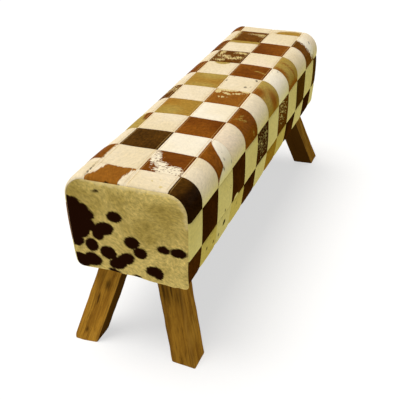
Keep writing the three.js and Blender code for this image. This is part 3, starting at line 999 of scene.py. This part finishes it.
def wood():
    """Stained hardwood with brown streaks; its grain attribute is the timber's own axes. Its tone attribute
    paints light onto each leg and its outward faces, and its inner attribute paints shade onto the faces
    under the body.
    """
    n = Nodes("leg_wood")
    place = n.swirled(n.attribute("grain", "Vector"), (14, 14, 4), 0.016)
    figure = n.noise(n.scaled(place, (75, 75, 7)), detail=4, rough=0.6)
    streak = n.noise(n.scaled(place, (160, 160, 9), (5, 2, 1)), detail=3, rough=0.65)
    fibre = n.noise(n.scaled(place, (1300, 1300, 45)))
    pore = n.noise(n.scaled(place, (900, 900, 60), (1, 1, 1)), detail=1)
    patch = n.noise(n.scaled(place, (24, 24, 12), (2, 8, 3)))
    colour = n.mix(n.ramp(figure, 0.36, 0.66), (0.390, 0.190, 0.021), (0.235, 0.104, 0.011))
    colour = n.mix(n.ramp(patch, 0.50, 0.70, 0, 0.6), colour, (0.45, 0.235, 0.030))
    colour = n.mix(n.ramp(streak, 0.53, 0.70, 0, 0.60), colour, (0.080, 0.030, 0.004))
    fibre_light = n.ramp(fibre, 0.3, 0.7, 0.86, 1.12, smooth=False)
    # Painted light: the tone attribute brightens or darkens each leg as a whole, and its outward faces
    # more.
    colour = n.dimmed(colour, n.math("MULTIPLY", fibre_light, n.attribute("tone")))
    nearest = FAR / MM
    for leg, middle, run, half_width, half_length in DARK_STREAKS:
        scale = (0.2 / half_width / MM, 1 / half_width / MM, 1 / half_length / MM)
        centre = (-LEG_SIDE / 2, middle * MM, run * MM + LEG_SEEDS[leg])
        inputs = {0: n.scaled(place, scale, tuple(-s * c for s, c in zip(scale, centre)))}
        away = n.node("ShaderNodeVectorMath", inputs, operation="LENGTH").outputs["Value"]
        nearest = n.math("MINIMUM", away, nearest)
    frayed = n.math("ADD", nearest, n.swing(streak, 2.4))
    colour = n.mix(n.ramp(frayed, 1.25, 0.35, 0, 0.80), colour, (0.055, 0.022, 0.004))
    colour = n.mix(n.ramp(pore, 0.62, 0.70, 0, 0.5), colour, (0.06, 0.022, 0.006))
    colour = n.mix(n.ramp(n.attribute("worn"), 0.2, 1.0, 0, 0.12), colour, (0.50, 0.28, 0.06))
    # Painted shade: the faces that look in under the body are darkened nearly to black.
    colour = n.mix(n.ramp(n.attribute("inner"), 0.2, 1.0, 0, 0.93), colour, (0.050, 0.018, 0.002))
    return n.finish(
        Base_Color=colour,
        Roughness=n.ramp(figure, 0.3, 0.7, 0.42, 0.58, smooth=False),
        Normal=n.bump(n.blend(fibre, streak, 0.5), 0.4, 0.5 * MM),
        Specular_IOR_Level=0.0,
    )


def make_leg(end, side, material):
    """One leg: square timber on a slant with round edges, cut level at both ends."""
    name = FOOT[end, side]
    seed = LEG_SEEDS[name]
    half = LEG_SIDE / 2
    middle, across, through, up = (np.array(vector) for vector in leg_axes(end, side))
    loop = rounded_square(half, LEG_EDGE)
    around = len(loop)
    a, b = loop.T
    slant = a * across[2] + b * through[2]
    low_cut, high_cut = -slant / up[2], (LEG_TOP - slant) / up[2]
    # Each ring is how far up the timber its points are, and how far it is drawn in.
    rings = [(low_cut + rise * FOOT_EASE, drawn * FOOT_EASE) for rise, drawn in FOOT_ROUNDING]
    for share in [*np.linspace(0.03, 0.97, 40), 1.0]:
        rings.append((low_cut + (high_cut - low_cut) * share, 0.0))
    edge_share = np.clip((np.abs(a) + np.abs(b) - LEG_SIDE + 4 * MM + LEG_EDGE) / (4 * MM), 0, 1)
    facing = np.arctan2(b, a)
    points, grain = [], []
    for run, drawn in rings:
        hollow = 0.35 * MM * waves(facing * 0.05, run, seed, 0.07)
        knocks = 0.5 + 0.5 * waves(run, np.round(facing) * 0.1, seed + 9, 0.04)
        size = (1 - drawn / half) * (1 + (hollow - 0.5 * MM * edge_share * knocks) / half)
        if name == "back_left":
            to_corner = smooth_step(((b - a) / LEG_SIDE - 0.55) / 0.45)
            fade = np.clip(1 - (run - low_cut) / (16 * MM), 0, 1) ** 2
            size = size - WORN_CORNER * to_corner * fade / half
        points.append(middle + np.outer(a * size, across) + np.outer(b * size, through) + np.outer(run, up))
        grain.append(np.stack([a, b, run + seed], 1))
    points = np.concatenate(points)
    points[:, 2] = np.clip(points[:, 2], 0, LEG_TOP)
    points[:around, 2] = 0
    points[-around:, 2] = LEG_TOP
    mesh = new_mesh(f"leg_timber_{name}", points, tube_faces(0, len(rings), around))
    mesh.polygons[-1].use_smooth = False
    mesh.polygons[-2].use_smooth = False
    set_values(mesh, "grain", np.concatenate(grain), "FLOAT_VECTOR")
    set_values(mesh, "worn", np.tile(edge_share * 0.8, len(rings)))

    heading = np.roll(loop, -1, axis=0) - loop
    heading /= np.linalg.norm(heading, axis=1, keepdims=True)

    def by_face(towards):
        """A share for each face round the timber, from how it faces; 0 for the two ends."""
        share = np.tile(smooth_step((towards - 0.3) / 0.7), len(rings) - 1)
        return np.append(share, [0.0, 0.0])

    # Painted shade on the faces that look in under the body, and painted light on the faces that look
    # outward (35 % brighter through the tone attribute).
    inner = by_face(np.maximum(-end * heading[:, 1], side * heading[:, 0]))
    outer = by_face(-side * heading[:, 0])
    set_values(mesh, "inner", inner, domain="FACE")
    set_values(mesh, "tone", LEG_PAINTED_LIGHT[name] * (1 + 0.35 * outer), domain="FACE")
    mesh.materials.append(material)
    new_piece(f"leg_timber_{name}", mesh, [f"leg_{name}"])


def make_legs():
    material = wood()
    for end, side in FOOT:
        make_leg(end, side, material)


# ---- Underside ----


def lining_cloth():
    n = Nodes("black_lining")
    place = n.place()
    fleck = n.noise(n.scaled(place, 700), detail=3)
    bond = n.cells(n.scaled(place, 420))
    colour = n.mix(fleck, (0.012, 0.012, 0.014), (0.040, 0.040, 0.044))
    height = n.math("ADD", n.math("MULTIPLY", fleck, 0.5), bond)
    return n.finish(Base_Color=colour, Roughness=0.88, Normal=n.bump(height, 0.5, 0.3 * MM))


LINING_STEP = 12 * MM
LINING_SAG = 2.6 * MM


def hole_loop(end, side):
    """The lining's cut-out round a leg, anticlockwise, in x and y."""
    middle, across, through, up = (np.array(vector) for vector in leg_axes(end, side))
    a, b = rounded_square(LEG_SIDE / 2 + 1 * MM, 4 * MM, 3, 4).T
    offset = np.outer(a, across) + np.outer(b, through)
    run = (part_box("bottom_lining")[0].z - offset[:, 2]) / up[2]
    return (middle + offset + np.outer(run, up))[:, :2]


def inside_loop(points, loop):
    """Which points are inside a closed loop, by how often a ray from each one crosses it."""
    inside = np.zeros(len(points), bool)
    for (x0, y0), (x1, y1) in zip(loop, np.roll(loop, -1, axis=0)):
        if y0 != y1:
            crosses = (y0 > points[:, 1]) != (y1 > points[:, 1])
            inside ^= crosses & (points[:, 0] < (x1 - x0) * (points[:, 1] - y0) / (y1 - y0) + x0)
    return inside


def make_lining():
    """The cloth under the body, stapled along its edge, sagging a little between."""
    low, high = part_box("bottom_lining")
    corners = np.array([(low.x, low.y), (high.x, low.y), (high.x, high.y), (low.x, high.y)])
    edge = []
    for start, end in zip(corners, np.roll(corners, -1, axis=0)):
        count = round(np.linalg.norm(end - start) / LINING_STEP)
        edge += [start + (end - start) * i / count for i in range(count)]
    holes = [hole_loop(end, side) for end, side in FOOT]
    xs = np.arange(low.x + LINING_STEP, high.x - LINING_STEP / 2, LINING_STEP)
    ys = np.arange(low.y + LINING_STEP, high.y - LINING_STEP / 2, LINING_STEP)
    grid = np.array([(x, y) for x in xs for y in ys])
    middles = np.array([hole.mean(0) for hole in holes])
    in_hole = (np.abs(grid[:, None] - middles) < LEG_SIDE / 2 + 4 * MM).all(2).any(1)
    clear = gap_to(grid, np.concatenate([edge, *holes])) > LINING_STEP * 0.5
    flat, triangles = triangulated([edge, *holes], grid[clear & ~in_hole])
    centres = flat[triangles].mean(1)
    in_leg = np.any([inside_loop(centres, hole) for hole in holes], axis=0)

    x, y = flat.T
    in_x, in_y = high.x - np.abs(x), high.y - np.abs(y)
    sag = smooth_step(in_x / 0.05) * smooth_step(in_y / 0.05)
    near_edge = 1 - smooth_step(np.minimum(in_x, in_y) / 0.03)
    pucker = 0.35 * MM * (np.sin((x + y) / 0.04 * math.tau) * near_edge + 1)
    drop = sag * (LINING_SAG + 0.5 * MM * waves(x, y, 31, 0.09)) + pucker
    cloth = np.column_stack([flat, (low.z + high.z) / 2 - drop])
    mesh = new_mesh("bottom_lining_cloth", cloth, triangles[~in_leg][:, ::-1].tolist())
    mesh.materials.append(lining_cloth())
    piece = new_piece("bottom_lining_cloth", mesh, ["bottom_lining"])
    thick = piece.modifiers.new("thickness", "SOLIDIFY")
    thick.thickness = 0.6 * MM
    thick.offset = 0


def zinc():
    n = Nodes("zinc_plate")
    place = n.place()
    spangle = n.noise(n.scaled(place, 260), detail=3)
    scratch = n.noise(n.scaled(place, (300, 300, 3000)))
    return n.finish(
        Base_Color=n.mix(spangle, (0.50, 0.51, 0.52), (0.66, 0.66, 0.65)),
        Roughness=n.ramp(spangle, 0.3, 0.7, 0.26, 0.44),
        Metallic=1.0,
        Normal=n.bump(scratch, 0.2, 0.1 * MM),
    )


def make_staples(material):
    """The staples round the lining's edge, each bent from one wire."""
    low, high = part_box("bottom_lining")
    crown, wire, prong, pitch, back = 10 * MM, 0.55 * MM, 3 * MM, 38 * MM, 6 * MM
    corner, sides = 0.9 * MM, 6
    surface = low.z - 0.5 * MM
    places = []
    for end in (-1, 1):
        for y in np.arange(low.y + 16 * MM, high.y - 10 * MM, pitch):
            places.append((end * (high.x - back), y, math.pi / 2))
        for x in np.arange(low.x + 16 * MM, high.x - 10 * MM, pitch):
            places.append((x, end * (high.y - back), 0.0))
    bend = np.linspace(0, math.pi / 2, 4)
    left = np.stack([corner * (1 - np.cos(bend)) - crown / 2, corner * (1 - np.sin(bend))], 1)
    right = left[::-1] * (-1, 1)
    path = np.concatenate([[(-crown / 2, prong)], left, right, [(crown / 2, prong)]])
    padded = np.concatenate([path[:1], path, path[-1:]])
    heading = padded[2:] - padded[:-2]
    heading /= np.linalg.norm(heading, axis=1, keepdims=True)
    turned = np.arange(sides) / sides * math.tau
    run = path[:, :1] + np.outer(heading[:, 1], np.cos(turned) * wire)
    rise = path[:, 1:] - np.outer(heading[:, 0], np.cos(turned) * wire)
    wide = np.broadcast_to(np.sin(turned) * wire * 1.2, run.shape)
    draw = np.random.default_rng(5)
    points, faces = [], []
    for x, y, turn in places:
        turn += draw.normal(0, 0.12)
        c, s = math.cos(turn), math.sin(turn)
        faces += tube_faces(len(points) * run.size, len(path), sides)
        points.append(np.stack([x + c * run - s * wide, y + s * run + c * wide, surface + rise], -1))
    mesh = new_mesh("lining_staples", np.concatenate(points).reshape(-1, 3), faces)
    mesh.materials.append(material)
    new_piece("lining_staples", mesh)


# ---- Inside ----


def foam_material():
    n = Nodes("cut_foam")
    place = n.place()
    cells = n.cells(n.scaled(place, 900))
    cloud = n.noise(n.scaled(place, 18), detail=3)
    colour = n.mix(cloud, (0.82, 0.72, 0.44), (0.74, 0.62, 0.34))
    colour = n.mix(n.ramp(cells, 0.1, 0.6, 0.35, 0), colour, (0.5, 0.4, 0.2))
    return n.finish(Base_Color=colour, Roughness=0.95, Normal=n.bump(cells, 0.7, 0.6 * MM))


PAD_SHORT = 7 * MM  # how far the pads' ends are drawn in, under the roll at the body's ends
FOAM_EDGE = 4 * MM
PLY_PAIR = 3 * MM  # a light and a dark layer of the plywood


def make_foam():
    """Softened copies of the foam's solids, with round edges."""
    material = foam_material()
    for node in ("foam_top", "foam_front", "foam_back", "foam_end_left", "foam_end_right"):
        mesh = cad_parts[node].data.copy()
        mesh.materials.clear()
        mesh.materials.append(material)
        for corner in mesh.vertices:
            if abs(corner.co.x) > END - 2 * PAD_SHORT:
                corner.co.x -= math.copysign(PAD_SHORT, corner.co.x)
        piece = new_piece(node.replace("foam", "pad"), mesh, [node])
        bpy.context.view_layer.objects.active = piece
        weld = piece.modifiers.new("weld", "WELD")
        weld.merge_threshold = 1e-5
        flat = piece.modifiers.new("flat", "DECIMATE")
        flat.decimate_type = "DISSOLVE"
        flat.angle_limit = math.radians(1)
        soft = piece.modifiers.new("soft", "BEVEL")
        soft.width = FOAM_EDGE
        soft.segments = 3
        soft.limit_method = "ANGLE"
        soft.angle_limit = math.radians(50)


def plywood(thin_axis):
    """Birch ply: veneer on the faces, and thin layers where the edge shows."""
    n = Nodes(f"birch_ply_{'xyz'[thin_axis]}")
    coordinates = n.node("ShaderNodeTexCoord")
    place = coordinates.outputs["Object"]
    along = 2 if thin_axis == 0 else 0
    figure = n.scaled(place, tuple(9 if axis == along else 260 for axis in range(3)))
    figure = n.noise(figure, detail=4, rough=0.6, distortion=0.3)
    face = n.mix(n.ramp(figure, 0.35, 0.65), (0.68, 0.50, 0.30), (0.54, 0.37, 0.19))
    depth = n.node("ShaderNodeSeparateXYZ", {0: place}).outputs[thin_axis]
    layers = n.math("SINE", n.math("MULTIPLY", depth, math.tau / PLY_PAIR))
    edge = n.mix(n.ramp(layers, -0.3, 0.3), (0.60, 0.43, 0.24), (0.26, 0.15, 0.07))
    facing = n.node("ShaderNodeSeparateXYZ", {0: coordinates.outputs["Normal"]})
    flat_on = n.ramp(n.math("ABSOLUTE", facing.outputs[thin_axis]), 0.4, 0.6)
    colour = n.mix(flat_on, edge, face)
    return n.finish(Base_Color=colour, Roughness=0.7, Normal=n.bump(figure, 0.25, 0.4 * MM))


def pine():
    n = Nodes("sawn_pine")
    place = n.place()
    figure = n.noise(n.scaled(place, (180, 180, 14)), detail=4, rough=0.6, distortion=0.4)
    saw = n.bands(n.scaled(place, 90), "Z")
    colour = n.mix(n.ramp(figure, 0.35, 0.65), (0.62, 0.42, 0.20), (0.40, 0.23, 0.09))
    return n.finish(Base_Color=colour, Roughness=0.75, Normal=n.bump(saw, 0.3, 0.3 * MM))


def dress(node, material):
    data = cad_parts[node].data
    data.materials.clear()
    data.materials.append(material)


def dress_inside(metal):
    boards = (
        ("end_board_left", "end_board_right", "rib_1", "rib_2", "rib_3"),
        ("side_board_front", "side_board_back"),
        ("top_board", "bottom_board"),
    )
    for thin_axis in (2, 1, 0):
        ply = plywood(thin_axis)
        for node in boards[thin_axis]:
            dress(node, ply)
    block = pine()
    for place in FOOT.values():
        dress(f"leg_block_{place}", block)
        for fitting in ("washer", "nut", "bolt"):
            dress(f"leg_{fitting}_{place}", metal)


# ---- Stage ----


CAMERA_PLACE = Vector((-1.834997, -0.688129, 1.258673))
CAMERA_AIM = Vector((-0.411908, -0.113234, 0.358))
CAMERA_ROLL = -0.022872  # radians
CAMERA_LENS = 68.72  # millimetres, for a film 36 wide
FLOOR_HALF = 90
KEY_AIM = Vector((0.05, -0.28, -1.0))
KEY_STRENGTH = 2.75
KEY_ANGLE = 44  # degrees, wide for soft shadows
SKY_STRENGTH = 0.20


def make_camera():
    forward = (CAMERA_AIM - CAMERA_PLACE).normalized()
    right = forward.cross(Vector((0, 0, 1))).normalized()
    up = right.cross(forward)
    c, s = math.cos(CAMERA_ROLL), math.sin(CAMERA_ROLL)
    axes = (right * c + up * s, up * c - right * s, -forward, CAMERA_PLACE)
    camera = bpy.data.objects.new("camera", bpy.data.cameras.new("camera"))
    camera.data.lens = CAMERA_LENS
    camera.data.sensor_width = 36
    camera.data.clip_end = 300
    camera.matrix_world = Matrix([[axis[i] for axis in axes] for i in range(3)] + [[0, 0, 0, 1]])
    bpy.context.scene.collection.objects.link(camera)
    bpy.context.scene.camera = camera


def make_floor():
    corners = [(x * FLOOR_HALF, y * FLOOR_HALF, 0) for x, y in ((-1, -1), (1, -1), (1, 1), (-1, 1))]
    mesh = new_mesh("floor", corners, [[0, 1, 2, 3]])
    floor = bpy.data.objects.new("floor", mesh)
    bpy.context.scene.collection.objects.link(floor)
    n = Nodes("floor_paint")
    tone = n.noise(n.scaled(n.place(), 3))
    paint = n.finish(
        Base_Color=n.mix(tone, (0.44, 0.44, 0.44), (0.46, 0.46, 0.46)),
        Roughness=0.9,
        Specular_IOR_Level=0.0,
        Emission_Color=(1.0, 1.0, 1.0),
        Emission_Strength=0.60,
    )
    mesh.materials.append(paint)


def make_lights():
    world = bpy.data.worlds.new("studio")
    bpy.context.scene.world = world
    world.use_nodes = True
    sky = world.node_tree.nodes["Background"]
    sky.inputs["Color"].default_value = (1.0, 1.0, 1.0, 1)
    sky.inputs["Strength"].default_value = SKY_STRENGTH
    key = bpy.data.lights.new("key", "SUN")
    key.energy = KEY_STRENGTH
    key.angle = math.radians(KEY_ANGLE)
    key.color = (1.0, 0.975, 0.94)
    lamp = bpy.data.objects.new("key", key)
    lamp.rotation_mode = "QUATERNION"
    lamp.rotation_quaternion = KEY_AIM.to_track_quat("-Z", "Y")
    bpy.context.scene.collection.objects.link(lamp)
    bpy.context.scene.view_settings.view_transform = "Standard"


make_camera()
make_floor()
make_lights()
make_cover()
make_panels()
make_stitching()
make_legs()
make_lining()
METAL = zinc()
make_staples(METAL)
make_foam()
dress_inside(METAL)
